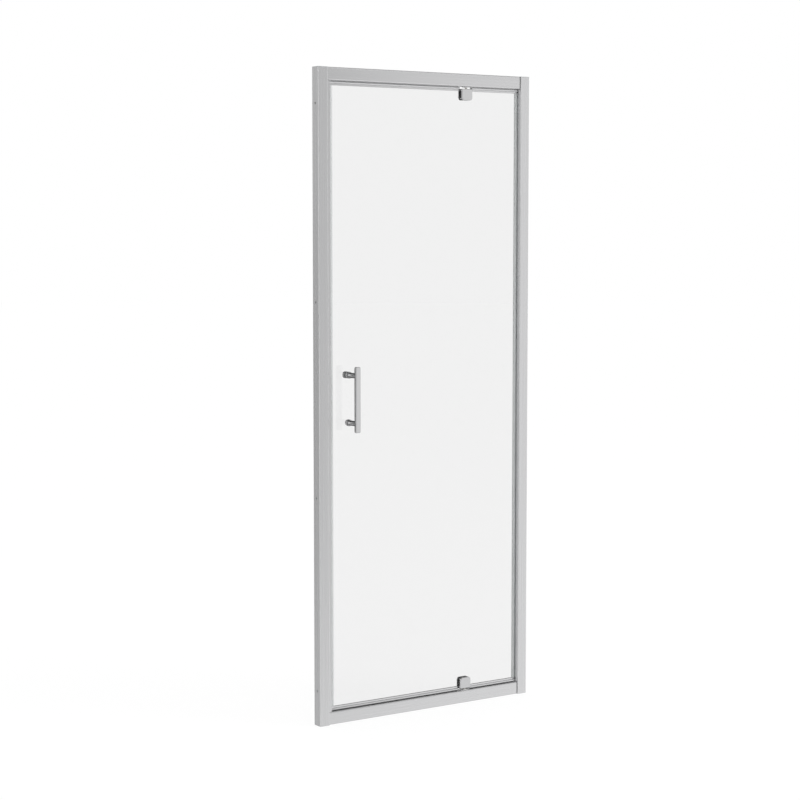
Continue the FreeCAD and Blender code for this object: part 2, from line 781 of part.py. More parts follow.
# ---- pivots: made at the bottom, mirrored to the top ----


def pivot_shoe():
    """Oblong plate on the rail's ledge that holds the bush."""
    body = new_body("pivot_shoe")
    plan = new_sketch(body, "XY_Plane", LEDGE)
    slot(plan, D.pivot_across - D.shoe_reach, D.pivot_across + D.shoe_reach, D.pivot_back,
         D.shoe_radius)
    pad(body, plan, D.shoe_thick)
    hole = D.shoe_shank + D.slack
    pivot_holes(body, SHOE_TOP, hole, D.shoe_thick)
    dress(body, "Chamfer", D.shoe_head_thick + D.slack,
          lambda edge, box: is_ring(edge, hole) and close(edge.BoundBox.ZMin, box.ZMax))
    return body


def pivot_bush():
    """Flanged acetal bush through the shoe, the ledge and the anchor plate."""
    foot = (D.pivot_across, D.pivot_back, LEDGE - D.bush_depth)
    top = (D.pivot_across, D.pivot_back, SHOE_TOP)
    length = D.bush_depth + D.shoe_thick
    sleeve = rod(D.bush_outside, length, foot, "z")
    flange = rod(D.bush_flange, D.bush_flange_thick, top, "z")
    bore = rod(D.pin_radius + D.running_gap, length + D.bush_flange_thick, foot, "z")
    return without(joined([sleeve, flange]), bore)


def anchor_plate():
    """Tapped steel plate inside the rail, bevelled to clear the rail's rounded edge."""
    top = LEDGE - D.profile_wall
    low = top - D.anchor_thick
    front = D.recess + D.profile_wall + D.moving_gap
    back = front + D.anchor_width
    bevel = D.anchor_bevel
    section = [(front, low), (back, low), (back, top), (front + bevel, top), (front, top - bevel)]
    start = D.pivot_across - D.anchor_length / 2
    body = extrusion("anchor_plate", "YZ_Plane", start, D.anchor_length, [section])
    pivot_holes(body, top, D.shoe_shank + D.slack / 2, D.anchor_thick)
    return body


def shoe_screws():
    """Countersunk screws that hold both shoes to their anchor plates."""
    screws = []
    thick = D.shoe_head_thick
    for across in SHOE_SCREWS:
        tip = (across, D.pivot_back, SHOE_TOP - D.shoe_screw_length)
        shank = rod(D.shoe_shank, D.shoe_screw_length - thick, tip, "z")
        head = taper(D.shoe_shank, D.shoe_head, thick, (across, D.pivot_back, SHOE_TOP - thick), "z")
        screws.append(joined([shank, head]))
    bottom = group(screws)
    return group([bottom, mirrored(bottom, "z")])


def pivot_pin():
    """Steel pin fixed in the block and turning in the bush."""
    body = new_body("pivot_pin")
    section = new_sketch(body, "XY_Plane", LEDGE - D.pin_drop)
    circle(section, D.pivot_across, D.pivot_back, D.pin_radius)
    pad(body, section, D.pin_length)
    dress(body, "Chamfer", D.pin_bevel, lambda edge, box: is_ring(edge, D.pin_radius))
    return body


def clamp_slab(name, back, thick, margin):
    """The shape that block, gaskets and rear plate share, drawn in by the margin.

    It reaches forwards from y = back, with large corners away from the rail.
    """
    half = D.block_width / 2
    body = new_body(name)
    face = new_sketch(body, "XZ_Plane", back)
    outline(face, inset(box_corners(
        D.pivot_across - half, GLASS_FOOT, D.pivot_across + half, GLASS_FOOT + D.block_height
    ), margin))
    pad(body, face, thick)
    dress(body, "Fillet", D.block_corner - margin,
          lambda edge, box: runs(edge, "y") and close(middle_of(edge).z, box.ZMax))
    dress(body, "Fillet", D.block_foot - margin,
          lambda edge, box: runs(edge, "y") and close(middle_of(edge).z, box.ZMin))
    return body


def clamp_holes(body, back, radius, depth):
    """Two screw holes cut forwards from y = back."""
    sketch = new_sketch(body, "XZ_Plane", back)
    for across in CLAMP_SCREWS:
        circle(sketch, across, CLAMP_LEVEL, radius)
    cut(body, sketch, depth, along_normal=True)


def pivot_block():
    """Chromed front half of the pivot, with the pin's bore in its foot."""
    body = clamp_slab("pivot_block", BLOCK_BACK, BLOCK_BACK - D.block_front, 0)
    dress(body, "Fillet", D.block_edge, on_front)
    bore = new_sketch(body, "XY_Plane", GLASS_FOOT)
    circle(bore, D.pivot_across, D.pivot_back, D.pin_radius + D.press_gap)
    reach = D.pin_length - D.pin_drop - D.glass_gap
    cut(body, bore, reach + D.slack, along_normal=True)
    clamp_holes(body, BLOCK_BACK, D.clamp_shank + D.slack / 2, D.clamp_reach + D.slack * 5)
    return body


def front_gasket():
    body = clamp_slab("front_gasket", D.glass_front, D.gasket_thick, D.gasket_inset)
    clamp_holes(body, D.glass_front, D.clamp_shank + D.slack * 3, D.gasket_thick)
    return body


def rear_gasket():
    """Gasket with two bosses that line the holes in the glass."""
    body = clamp_slab("rear_gasket", PLATE_FRONT, D.gasket_thick, D.gasket_inset)
    bosses = new_sketch(body, "XZ_Plane", GLASS_BACK)
    for across in CLAMP_SCREWS:
        circle(bosses, across, CLAMP_LEVEL, D.glass_hole - D.slack * 2)
    pad(body, bosses, D.glass_thick - D.slack)
    hole = D.clamp_shank + D.slack * 3
    clamp_holes(body, PLATE_FRONT, hole, D.gasket_thick + D.glass_thick)
    return body


def rear_plate():
    """Chromed rear half of the pivot clamp, with countersinks."""
    body = clamp_slab("rear_plate", PLATE_BACK, D.plate_thick, 0)
    dress(body, "Fillet", D.plate_edge, on_back)
    hole = D.clamp_shank + D.slack * 2
    clamp_holes(body, PLATE_BACK, hole, D.plate_thick)
    dress(body, "Chamfer", D.clamp_head_thick + D.slack,
          lambda edge, box: on_back(edge, box) and is_ring(edge, hole))
    return body


def clamp_screws():
    """Countersunk screws from the rear plates into the blocks."""
    thick = D.clamp_head_thick
    start = BLOCK_BACK - D.clamp_reach
    screws = []
    for across in CLAMP_SCREWS:
        shank = rod(D.clamp_shank, PLATE_BACK - thick - start, (across, start, CLAMP_LEVEL), "y")
        head = taper(
            D.clamp_shank, D.clamp_head, thick, (across, PLATE_BACK - thick, CLAMP_LEVEL), "y"
        )
        screws.append(joined([shank, head]))
    bottom = group(screws)
    return group([bottom, mirrored(bottom, "z")])


def pivots():
    bottom_and_top("pivot_shoe", pivot_shoe())
    bottom_and_top("pivot_bush", pivot_bush())
    bottom_and_top("anchor_plate", anchor_plate())
    node("shoe_screws", shoe_screws())
    bottom_and_top("pivot_pin", pivot_pin())
    bottom_and_top("pivot_block", pivot_block())
    bottom_and_top("front_gasket", front_gasket())
    bottom_and_top("rear_gasket", rear_gasket())
    bottom_and_top("rear_plate", rear_plate())
    node("clamp_screws", clamp_screws())


# ---- door leaf ----


def glass_panel():
    """Toughened pane with four pivot holes and two handle holes."""
    body = new_body("glass_panel")
    face = new_sketch(body, "XZ_Plane", GLASS_BACK)
    outline(face, box_corners(D.glass_left, GLASS_FOOT, D.glass_right, GLASS_HEAD))
    pad(body, face, D.glass_thick)
    dress(body, "Chamfer", D.glass_arris,
          lambda edge, box: on_front(edge, box) or on_back(edge, box))
    holes = new_sketch(body, "XZ_Plane", GLASS_BACK)
    for across in CLAMP_SCREWS:
        for level in (CLAMP_LEVEL, D.frame_height - CLAMP_LEVEL):
            circle(holes, across, level, D.glass_hole)
    for level in (LOW_POST, HIGH_POST):
        circle(holes, D.handle_across, level, D.sleeve_radius)
    cut(body, holes, D.glass_thick, along_normal=True)
    return body


def edge_trim(name, start, end):
    """Clip-on trim under the glass: two legs, a hollow bead in front, a groove for the wiper."""
    front = D.glass_front - D.trim_leg
    back = GLASS_BACK + D.trim_leg
    foot = D.trim_foot
    seat = GLASS_FOOT - D.slack
    roof = foot + D.groove_depth
    groove_back = D.groove_front + D.groove_width
    body = new_body(name)
    section = new_sketch(body, "YZ_Plane", start)
    outline(section, [
        (front, foot), (D.groove_front, foot), (D.groove_front, roof), (groove_back, roof),
        (groove_back, foot), (back - D.trim_bevel, foot), (back, foot + D.trim_bevel),
        (back, D.trim_leg_top), (GLASS_BACK, D.trim_leg_top), (GLASS_BACK, seat),
        (D.glass_front, seat), (D.glass_front, D.trim_leg_top), (front, D.trim_leg_top),
    ])
    pad(body, section, end - start)
    bulge = new_sketch(body, "YZ_Plane", start)
    bead(bulge, front, foot, foot + D.trim_bead * 2)
    pad(body, bulge, end - start)
    hollow = new_sketch(body, "YZ_Plane", start)
    circle(hollow, front - D.hollow_ahead, foot + D.trim_bead, D.trim_hollow)
    cut(body, hollow, end - start, along_normal=True)
    return body


def wiper(name, start, end):
    """Soft blade pressed into the trim's groove; its tip brushes the rail."""
    root = D.trim_foot + D.groove_depth - D.slack
    foot = D.trim_foot - D.slack
    front = D.groove_front + D.slack
    back = D.groove_front + D.groove_width - D.slack
    slope = D.wiper_slope
    return extrusion(name, "YZ_Plane", start, end - start, [[
        (front, root), (front, foot), (front + slope, D.wiper_tip), (back - slope, D.wiper_tip),
        (back, foot), (back, root),
    ]])


def closing_edge():
    """Clear profile on the left glass edge, with a tube that holds the door's magnet."""
    front = D.glass_front - D.seal_leg
    back = GLASS_BACK + D.seal_leg
    tip = D.glass_left + D.seal_grip
    seat = D.glass_left - D.slack
    web = seat - D.seal_web
    edge = web - D.tube_width
    tube_front = front - D.tube_bulge
    tube_back = back + D.tube_bulge
    profile = [
        (tip, front), (tip, D.glass_front), (seat, D.glass_front), (seat, GLASS_BACK),
        (tip, GLASS_BACK), (tip, back), (web, back), (web, tube_back), (edge, tube_back),
        (edge, tube_front), (web, tube_front), (web, front),
    ]
    tube = inset(box_corners(edge, tube_front, web, tube_back), D.tube_wall)
    seal = extrusion("closing_edge_seal", "XY_Plane", SEAL_FOOT, SEAL_LENGTH, [profile, tube])
    bar = inset(tube, D.slack)
    magnet = extrusion("door_magnet", "XY_Plane", SEAL_FOOT, SEAL_LENGTH, [bar])
    node("closing_edge_seal", seal)
    node("door_magnet", magnet)


def hinge_edge_seal():
    """Clear profile on the right glass edge, with a fin towards the jamb."""
    front = D.glass_front - D.seal_leg
    back = GLASS_BACK + D.seal_leg
    tip = D.glass_right - D.seal_grip
    seat = D.glass_right + D.slack
    web = seat + D.seal_web
    fin = web + D.fin_reach
    fin_front = D.fin_back - D.fin_lean
    return extrusion("hinge_edge_seal", "XY_Plane", SEAL_FOOT, SEAL_LENGTH, [[
        (tip, front), (web, front), (web, D.fin_back), (fin, fin_front),
        (fin, fin_front + D.fin_tip), (web, D.fin_back + D.fin_root), (web, back), (tip, back),
        (tip, GLASS_BACK), (seat, GLASS_BACK), (seat, D.glass_front), (tip, D.glass_front),
    ]])


def leaf():
    node("glass_panel", glass_panel())
    closing_edge()
    node("hinge_edge_seal", hinge_edge_seal())
    long_end = D.pivot_across - D.trim_clear
    short_start = D.pivot_across + D.trim_clear
    bottom_and_top("long_trim", edge_trim("long_trim", D.trim_start, long_end))
    bottom_and_top("short_trim", edge_trim("short_trim", short_start, D.trim_end))
    bottom_and_top("long_wiper", wiper("long_wiper", D.trim_start, long_end))
    bottom_and_top("short_wiper", wiper("short_wiper", short_start, D.trim_end))


# ---- handle ----


def handle_bar():
    """Flat grip bar with soft edges and two blind holes for the posts' spigots."""
    half_width = D.bar_width / 2
    half_length = D.handle_length / 2
    body = new_body("handle_bar")
    face = new_sketch(body, "XZ_Plane", -D.bar_back)
    outline(face, box_corners(
        D.handle_across - half_width, D.handle_middle - half_length,
        D.handle_across + half_width, D.handle_middle + half_length
    ))
    pad(body, face, D.bar_depth)
    dress(body, "Fillet", D.bar_corner, lambda edge, box: runs(edge, "y"))
    dress(body, "Fillet", D.bar_front_round, on_front)
    dress(body, "Fillet", D.bar_back_round, on_back)
    sockets = new_sketch(body, "XZ_Plane", -D.bar_back)
    for level in (LOW_POST, HIGH_POST):
        circle(sockets, D.handle_across, level, D.spigot_radius + D.press_gap)
    cut(body, sockets, D.spigot_length + D.slack, along_normal=True)
    return body


def handle_post(level):
    """Round post with a spigot in the bar and a tapped end for the stud."""
    at = D.handle_across
    stem = rod(D.post_radius, ROSE_FRONT + D.bar_back, (at, -D.bar_back, level), "y")
    start = -D.bar_back - D.spigot_length
    spigot = rod(D.spigot_radius, D.spigot_length + D.slack, (at, start, level), "y")
    deepest = ROSE_FRONT - D.tapped_depth
    tapped = rod(D.stud_radius + D.slack / 2, D.tapped_depth, (at, deepest, level), "y")
    return without(joined([stem, spigot]), tapped)


def ring(outer, length, level, start):
    """A round washer or sleeve about a handle stud."""
    at = (D.handle_across, start, level)
    return without(rod(outer, length, at, "y"), rod(STUD_HOLE, length, at, "y"))


def handle_rose(level):
    """Bevelled rose between post and glass."""
    front = (D.handle_across, ROSE_FRONT, level)
    shoulder = (D.handle_across, ROSE_FRONT + D.rose_bevel, level)
    disc = joined([
        taper(D.rose_radius - D.rose_bevel, D.rose_radius, D.rose_bevel, front, "y"),
        rod(D.rose_radius, D.rose_thick - D.rose_bevel, shoulder, "y"),
    ])
    return without(disc, rod(STUD_HOLE, D.rose_thick, front, "y"))


def tapped_for_stud(solid, depth, level):
    """A blind tapped hole from the glass side."""
    start = (D.handle_across, PLATE_FRONT, level)
    return without(solid, rod(D.stud_radius + D.slack / 2, depth + D.slack * 5, start, "y"))


def inside_knob():
    """Round knob on the shower side of the upper post, bevelled at both rims."""
    at = D.handle_across
    neck_end = PLATE_FRONT + D.knob_neck
    end = PLATE_FRONT + D.knob_length
    bevel = D.knob_bevel
    side = D.knob_length - D.knob_neck - bevel * 2
    solid = joined([
        rod(D.post_radius, D.knob_neck, (at, PLATE_FRONT, HIGH_POST), "y"),
        taper(D.knob_radius - bevel, D.knob_radius, bevel, (at, neck_end, HIGH_POST), "y"),
        rod(D.knob_radius, side, (at, neck_end + bevel, HIGH_POST), "y"),
        taper(D.knob_radius, D.knob_radius - bevel, bevel, (at, end - bevel, HIGH_POST), "y"),
    ])
    return tapped_for_stud(solid, D.stud_in_knob, HIGH_POST)


def screw_cap():
    """Low round nut that closes the lower stud on the shower side."""
    at = D.handle_across
    bevel = D.knob_bevel
    side = D.screw_cap_thick - bevel
    solid = joined([
        rod(D.screw_cap_radius, side, (at, PLATE_FRONT, LOW_POST), "y"),
        taper(D.screw_cap_radius, D.screw_cap_radius - bevel, bevel,
              (at, PLATE_FRONT + side, LOW_POST), "y"),
    ])
    return tapped_for_stud(solid, D.stud_in_cap, LOW_POST)


def handle_studs():
    """Threaded studs from the posts through the glass."""
    at = D.handle_across
    start = ROSE_FRONT - D.stud_depth
    through = PLATE_FRONT - start
    upper = rod(D.stud_radius, through + D.stud_in_knob, (at, start, HIGH_POST), "y")
    lower = rod(D.stud_radius, through + D.stud_in_cap, (at, start, LOW_POST), "y")
    return group([lower, upper])


def stud_rings(outer, length, start):
    return group([ring(outer, length, level, start) for level in (LOW_POST, HIGH_POST)])


def handle():
    node("handle_bar", handle_bar())
    node("lower_handle_post", handle_post(LOW_POST))
    node("upper_handle_post", handle_post(HIGH_POST))
    node("lower_handle_rose", handle_rose(LOW_POST))
    node("upper_handle_rose", handle_rose(HIGH_POST))
    node("handle_front_washers", stud_rings(D.washer_radius, D.gasket_thick, BLOCK_BACK))
    node("handle_sleeves", stud_rings(D.sleeve_radius - D.slack, D.glass_thick, D.glass_front))
    node("handle_rear_washers", stud_rings(D.rear_washer, D.gasket_thick, GLASS_BACK))
    node("handle_studs", handle_studs())
    node("inside_knob", inside_knob())
    node("lower_screw_cap", screw_cap())


# ---- checking and writing ----


def check_document():
    for thing in DOCUMENT.Objects:
        if "Invalid" in thing.State or "Error" in thing.State:
            raise RuntimeError("%s failed: %s" % (thing.Label, thing.State))
    for thing in NODES:
        if thing.Shape.isNull() or not thing.Shape.isValid() or thing.Shape.Volume <= 0:
            raise RuntimeError("%s has no sound shape" % thing.Label)


def write_parts():
    os.makedirs("parts", exist_ok=True)
    for thing in NODES:
        solids = thing.Shape.Solids
        shape = solids[0] if len(solids) == 1 else Part.makeCompound(solids)
        shape.exportStep("parts/%s.step" % thing.Label)
        box = shape.BoundBox
        print("%-24s %2d solids %10.1f mm3  x %7.2f %7.2f  y %6.2f %6.2f  z %7.2f %7.2f" % (
            thing.Label, len(solids), shape.Volume,
            box.XMin, box.XMax, box.YMin, box.YMax, box.ZMin, box.ZMax))


wall_side()
frame()
pivots()
leaf()
handle()
DOCUMENT.recompute()
check_document()
write_parts()
print(len(NODES), "nodes")
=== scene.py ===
"""Finishes and studio for a framed pivot shower door.

The construction comes packed, in metres: x along the frame, y into the shower, z up, with the
origin at the middle of the frame's underside.  This file gives every piece its finish, draws the
round pieces and the soft seals anew as worked-out surfaces, and sets the floor, light and camera.
"""

import math

import bmesh
import bpy
import numpy as np
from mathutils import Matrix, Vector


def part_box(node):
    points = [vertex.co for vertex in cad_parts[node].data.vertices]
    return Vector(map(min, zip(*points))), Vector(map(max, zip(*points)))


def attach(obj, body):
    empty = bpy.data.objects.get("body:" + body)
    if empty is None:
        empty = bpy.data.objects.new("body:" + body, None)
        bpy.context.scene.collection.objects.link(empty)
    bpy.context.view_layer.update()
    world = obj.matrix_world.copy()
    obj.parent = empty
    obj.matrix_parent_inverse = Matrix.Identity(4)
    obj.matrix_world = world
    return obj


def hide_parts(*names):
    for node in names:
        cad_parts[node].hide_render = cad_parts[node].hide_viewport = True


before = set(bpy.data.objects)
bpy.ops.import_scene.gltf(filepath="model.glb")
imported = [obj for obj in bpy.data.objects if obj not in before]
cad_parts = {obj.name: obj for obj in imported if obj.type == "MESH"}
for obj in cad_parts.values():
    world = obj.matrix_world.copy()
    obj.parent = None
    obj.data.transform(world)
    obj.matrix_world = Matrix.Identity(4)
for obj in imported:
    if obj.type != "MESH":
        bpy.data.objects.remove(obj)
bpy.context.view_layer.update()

bl_info = {
    "name": "Pivot shower door",
    "version": (1, 0, 0),
    "blender": (4, 5, 0),
    "location": "View3D > Sidebar > Shower door",
    "description": "Finishes, rounded pieces and studio for a framed pivot shower door",
    "category": "Object",
}

MM = 0.001
WHITE = (1.0, 1.0, 1.0, 1.0)
SENSOR_WIDTH = 36  # millimetres, the width that the lens is given for


# ---- what a user would change ----


def linear(code):
    """An sRGB colour such as "CDCDCE" as linear red, green, blue and an alpha of 1.

    The sRGB curve is a straight line near black and a power of 2.4 above it.
    """
    parts = [int(code[at:at + 2], 16) / 255 for at in (0, 2, 4)]
    return [c / 12.92 if c <= 0.04045 else ((c + 0.055) / 1.055) ** 2.4 for c in parts] + [1.0]


def colour(name, description, code):
    """A colour property from an sRGB code."""
    return bpy.props.FloatVectorProperty(
        name=name, description=description, subtype="COLOR", size=4, min=0, max=1,
        default=linear(code),
    )


def length(name, description, millimetres):
    """A length property."""
    return bpy.props.FloatProperty(
        name=name, description=description, unit="LENGTH", default=millimetres * MM
    )


def share(name, description, value):
    """A property between 0 and 1."""
    return bpy.props.FloatProperty(
        name=name, description=description, subtype="FACTOR", min=0, max=1, default=value
    )


class DoorFinishes(bpy.types.PropertyGroup):
    """Colours and gloss of the real materials."""

    silver: colour("Silver", "Anodised frame profiles", "D9D9DA")
    silver_roughness: share("Silver roughness", "How satin the anodising is", 0.26)
    chrome: colour("Chrome", "Plated pivots and handle", "C8C8C9")
    chrome_roughness: share("Chrome roughness", "Polish of the plating", 0.07)
    steel: colour("Steel", "Stainless screws and pins", "B4B2AE")
    glass: colour("Glass", "Tint of the toughened pane", "F0F0F0")
    vinyl: colour("Vinyl", "Clear edge seals", "F8F9F9")
    rubber: colour("Rubber", "Gaskets, washers and wipers", "77797B")
    nylon: colour("Nylon", "Moulded caps", "B7B9BB")
    acetal: colour("Acetal", "Pivot bushes", "E9E9E4")
    magnet: colour("Magnet", "White sleeved magnet strips", "F0F1F1")


class DoorStudio(bpy.types.PropertyGroup):
    """Camera, light and floor."""

    camera_place: bpy.props.FloatVectorProperty(
        name="Camera", description="Where the camera stands", subtype="TRANSLATION",
        default=(-3.276, -4.6935, 1.418),
    )
    camera_turn: bpy.props.FloatVectorProperty(
        name="Camera turn", description="Euler angles of the camera", subtype="EULER",
        default=(math.radians(84.92), 0.0, math.radians(-34.22)),
    )
    lens: bpy.props.FloatProperty(
        name="Lens", description="Focal length in millimetres on a 36 mm sensor", default=89.19
    )
    floor: colour("Floor", "The pale floor", "F2F2F2")
    floor_radius: length("Floor radius", "Radius of the pale floor", 30000)
    daylight: share("Daylight", "Strength of the white surroundings on matt surfaces", 0.75)


# ---- worked-out surfaces ----

SHARP = math.radians(32)  # edges that turn by more than this stay crisp
TURN_STEPS = 72  # points round a turned shape: a multiple of 12, so that hexagons have corners
POLE = 0.2 * MM  # radius of the small flat faces that close a turned shape on its axis
CORNER_SHARE = 0.45  # the most of a side that the curve at one of its ends takes up


def rounded(corners, cut, closed=True, steps=5):
    """An outline whose corners are drawn as quadratic curves, as an array of points.

    Each curve leaves one side and meets the next at the cut from the corner, or nearer where a
    side is short: (1 - t)^2 start + 2 t (1 - t) corner + t^2 end.  An open outline keeps its
    first and last corner.
    """
    corners = np.array(corners, dtype=float)

    def towards(neighbour):
        side = neighbour - corners
        part = cut / np.linalg.norm(side, axis=1, keepdims=True)
        return side * np.minimum(part, CORNER_SHARE)

    start = (corners + towards(np.roll(corners, 1, axis=0)))[:, None]
    end = (corners + towards(np.roll(corners, -1, axis=0)))[:, None]
    t = np.linspace(0, 1, steps + 1)[None, :, None]
    curves = (1 - t) ** 2 * start + 2 * t * (1 - t) * corners[:, None] + t ** 2 * end
    if closed:
        return curves.reshape(-1, 2)
    return np.vstack([corners[:1], curves[1:-1].reshape(-1, 2), corners[-1:]])


def turned(centre, profile, sides=None):
    """Rings of a turned shape: a point (r, y) of the profile goes round the y axis through centre
    as (x + r cos a, y, z + r sin a).

    sides, one number for each point, says how far a ring is drawn from a circle, at 0, to the
    hexagon whose corners lie on it, at 1: there r is multiplied by cos(30 deg) / cos(u), u being
    the angle from the middle of a side.
    """
    radius, depth = np.array(profile, dtype=float).T
    angle = np.linspace(0, 2 * math.pi, TURN_STEPS, endpoint=False)
    half_side = math.pi / 6
    from_side = (angle + half_side) % (2 * half_side) - half_side
    hexagon = math.cos(half_side) / np.cos(from_side)
    drawn_in = np.zeros(len(radius)) if sides is None else np.array(sides, dtype=float)
    r = radius[:, None] * (1 + drawn_in[:, None] * (hexagon - 1))
    y = np.repeat(depth[:, None], TURN_STEPS, axis=1)
    return np.stack([centre[0] + r * np.cos(angle), y, centre[2] + r * np.sin(angle)], axis=-1)


def drawn_along(outline, axis, start, end):
    """Rings of a profile carried straight along an axis: one copy of the outline at each end.

    The outline's two columns are the other two axes in the order x, y, z.
    """
    rings = np.empty((2, len(outline), 3))
    others = [k for k in range(3) if k != axis]
    rings[:, :, others] = outline
    rings[0, :, axis], rings[1, :, axis] = start, end
    return rings


def wrapped(rows, count):
    """The numbers of the points, a row for each ring, and the quads between the rings: a point
    and the next one round, and the same two on the next ring."""
    index = np.arange(rows * count).reshape(rows, count)
    beside = np.roll(index, -1, axis=1)
    quads = np.stack([index[:-1], beside[:-1], beside[1:], index[1:]], axis=-1)
    return index, quads.reshape(-1, 4)


def piece(name, shapes, material, body, slot, *replaced):
    """One object over the shapes' rings, closed by a flat face over each shape's end rings.

    The piece rides on a body, takes its finish from the material of that name, and stands for the
    nodes that it replaces.  slot is not used.
    """
    points, faces, first = [], [], 0
    for rings in shapes:
        rows, count = rings.shape[:2]
        index, quads = wrapped(rows, count)
        faces += (first + quads).tolist()
        faces += [(first + index[0]).tolist(), (first + index[-1]).tolist()]
        points.append(rings.reshape(-1, 3))
        first += rows * count
    mesh = bpy.data.meshes.new(name)
    mesh.from_pydata(np.vstack(points).tolist(), [], faces)
    shell = bmesh.new()
    shell.from_mesh(mesh)
    bmesh.ops.recalc_face_normals(shell, faces=shell.faces)
    shell.to_mesh(mesh)
    shell.free()
    mesh.shade_smooth()
    mesh.set_sharp_from_angle(angle=SHARP)
    mesh.materials.append(bpy.data.materials[material])
    made = bpy.data.objects.new(name, mesh)
    bpy.context.scene.collection.objects.link(made)
    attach(made, body)
    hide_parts(*replaced)


def middle(node):
    """The centre of a node's box."""
    low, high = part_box(node)
    return [(a + b) / 2 for a, b in zip(low, high)]


def round_node(node):
    """The radius of a round node that lies along y, and where it starts and ends."""
    low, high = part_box(node)
    return (high[0] - low[0]) / 2, low[1], high[1]


# ---- materials ----

FAINT, STRONG = 0.3, 0.7  # between these lies nearly all of a noise pattern
METAL_TONE = 0.015  # how far the tone of a plain metal surface varies
METAL_GLOSS = 0.02  # and its roughness


def add(tree, kind, settings=None, links=None):
    """Adds one node, gives its sockets and properties their values, and links its inputs."""
    made = tree.nodes.new(kind)
    for key, value in (settings or {}).items():
        if isinstance(key, int) or key in made.inputs:
            made.inputs[key].default_value = value
        else:
            setattr(made, key, value)
    for key, source in (links or {}).items():
        tree.links.new(source, made.inputs[key])
    return made


def new_material(name):
    """A material whose node tree is still empty."""
    material = bpy.data.materials.new(name)
    material.use_nodes = True
    material.node_tree.nodes.clear()
    return material


def drawn_lines(tree, along, spacing, stretch):
    """Noise in lines that run along one axis, from Object coordinates.

    spacing is the distance between lines in metres, and each is about stretch times as long.
    """
    place = add(tree, "ShaderNodeTexCoord")
    scale = [1 / (spacing * (stretch if axis == along else 1)) for axis in "xyz"]
    drawn = add(tree, "ShaderNodeMapping", {"Scale": scale}, {"Vector": place.outputs["Object"]})
    return add(
        tree, "ShaderNodeTexNoise", {"Scale": 1.0, "Detail": 3.0, "Roughness": 0.55},
        {"Vector": drawn.outputs["Vector"]},
    ).outputs["Fac"]


def patches(tree, spacing):
    """Noise with no direction, from Object coordinates, its patches spacing metres apart."""
    place = add(tree, "ShaderNodeTexCoord")
    return add(
        tree, "ShaderNodeTexNoise", {"Scale": 1 / spacing, "Detail": 2.0},
        {"Vector": place.outputs["Object"]},
    ).outputs["Fac"]


def surfaced(tree, settings, tone=None, gloss=None, relief=None):
    """Gives a material its shader and what its patterns do to it.

    tone is a pattern, the base colour and how much darker and lighter the pattern makes it; gloss
    is a pattern with the least and the greatest roughness; relief is a pattern with its strength
    and its height in metres.
    """
    links = {}
    if tone:
        pattern, base, depth = tone
        ramp = add(tree, "ShaderNodeValToRGB", links={"Fac": pattern})
        for stop, place, change in zip(ramp.color_ramp.elements, (FAINT, STRONG), (-depth, depth)):
            stop.position = place
            stop.color = [min(1.0, c * (1 + change)) for c in base[:3]] + [1.0]
        links["Base Color"] = ramp.outputs["Color"]
    if gloss:
        pattern, least, greatest = gloss
        spread = add(
            tree, "ShaderNodeMapRange",
            {"From Min": FAINT, "From Max": STRONG, "To Min": least, "To Max": greatest},
            {"Value": pattern},
        )
        links["Roughness"] = spread.outputs["Result"]
    if relief:
        pattern, strength, height = relief
        bump = add(
            tree, "ShaderNodeBump", {"Strength": strength, "Distance": height},
            {"Height": pattern},
        )
        links["Normal"] = bump.outputs["Normal"]
    shader = add(tree, "ShaderNodeBsdfPrincipled", settings, links)
    add(tree, "ShaderNodeOutputMaterial", links={"Surface": shader.outputs["BSDF"]})


def anodised_aluminium(name, along, base, roughness):
    """Extruded aluminium, etched and silver anodised.

    The etch gives a soft satin gleam.  The die leaves fine lines along the profile, drawn 1.2 mm
    apart because the real 0.2 mm ones are too fine to show, and broad bands of a slightly
    different tone.
    """
    tree = new_material(name).node_tree
    fine = drawn_lines(tree, along, spacing=1.2 * MM, stretch=400)
    broad = drawn_lines(tree, along, spacing=7 * MM, stretch=150)
    surfaced(
        tree, {"Metallic": 1.0},
        tone=(broad, base, METAL_TONE),
        gloss=(fine, roughness - METAL_GLOSS, roughness + METAL_GLOSS),
        relief=(fine, 0.12, 0.02 * MM),
    )


def chromium_plate(base, roughness):
    """Polished die-cast zinc with bright chromium: nearly a mirror, with a faint haze where the
    polishing left patches about 12 mm across."""
    tree = new_material("chromium_plate").node_tree
    haze = patches(tree, spacing=12 * MM)
    surfaced(
        tree, {"Metallic": 1.0},
        tone=(haze, base, METAL_TONE),
        gloss=(haze, roughness - METAL_GLOSS, roughness + METAL_GLOSS),
    )


def turned_steel(base):
    """Stainless steel, turned or rolled: warmer and duller than the chrome, with scratches drawn
    0.6 mm apart because the real ones are too fine to show."""
    tree = new_material("turned_stainless_steel").node_tree
    scratches = drawn_lines(tree, "z", spacing=0.6 * MM, stretch=8)
    surfaced(
        tree, {"Metallic": 1.0},
        tone=(scratches, base, 0.04),
        gloss=(scratches, 0.26, 0.40),
        relief=(scratches, 0.3, 0.02 * MM),
    )


def toughened_glass(base):
    """Polished float glass, toughened: clear with a trace of grey, and with the faint long waves
    that the toughening rollers leave about 60 mm apart."""
    tree = new_material("toughened_float_glass").node_tree
    waves = drawn_lines(tree, "x", spacing=60 * MM, stretch=6)
    surfaced(
        tree,
        {"Base Color": list(base), "Roughness": 0.0, "IOR": 1.52, "Transmission Weight": 1.0},
        relief=(waves, 0.05, 0.05 * MM),
    )


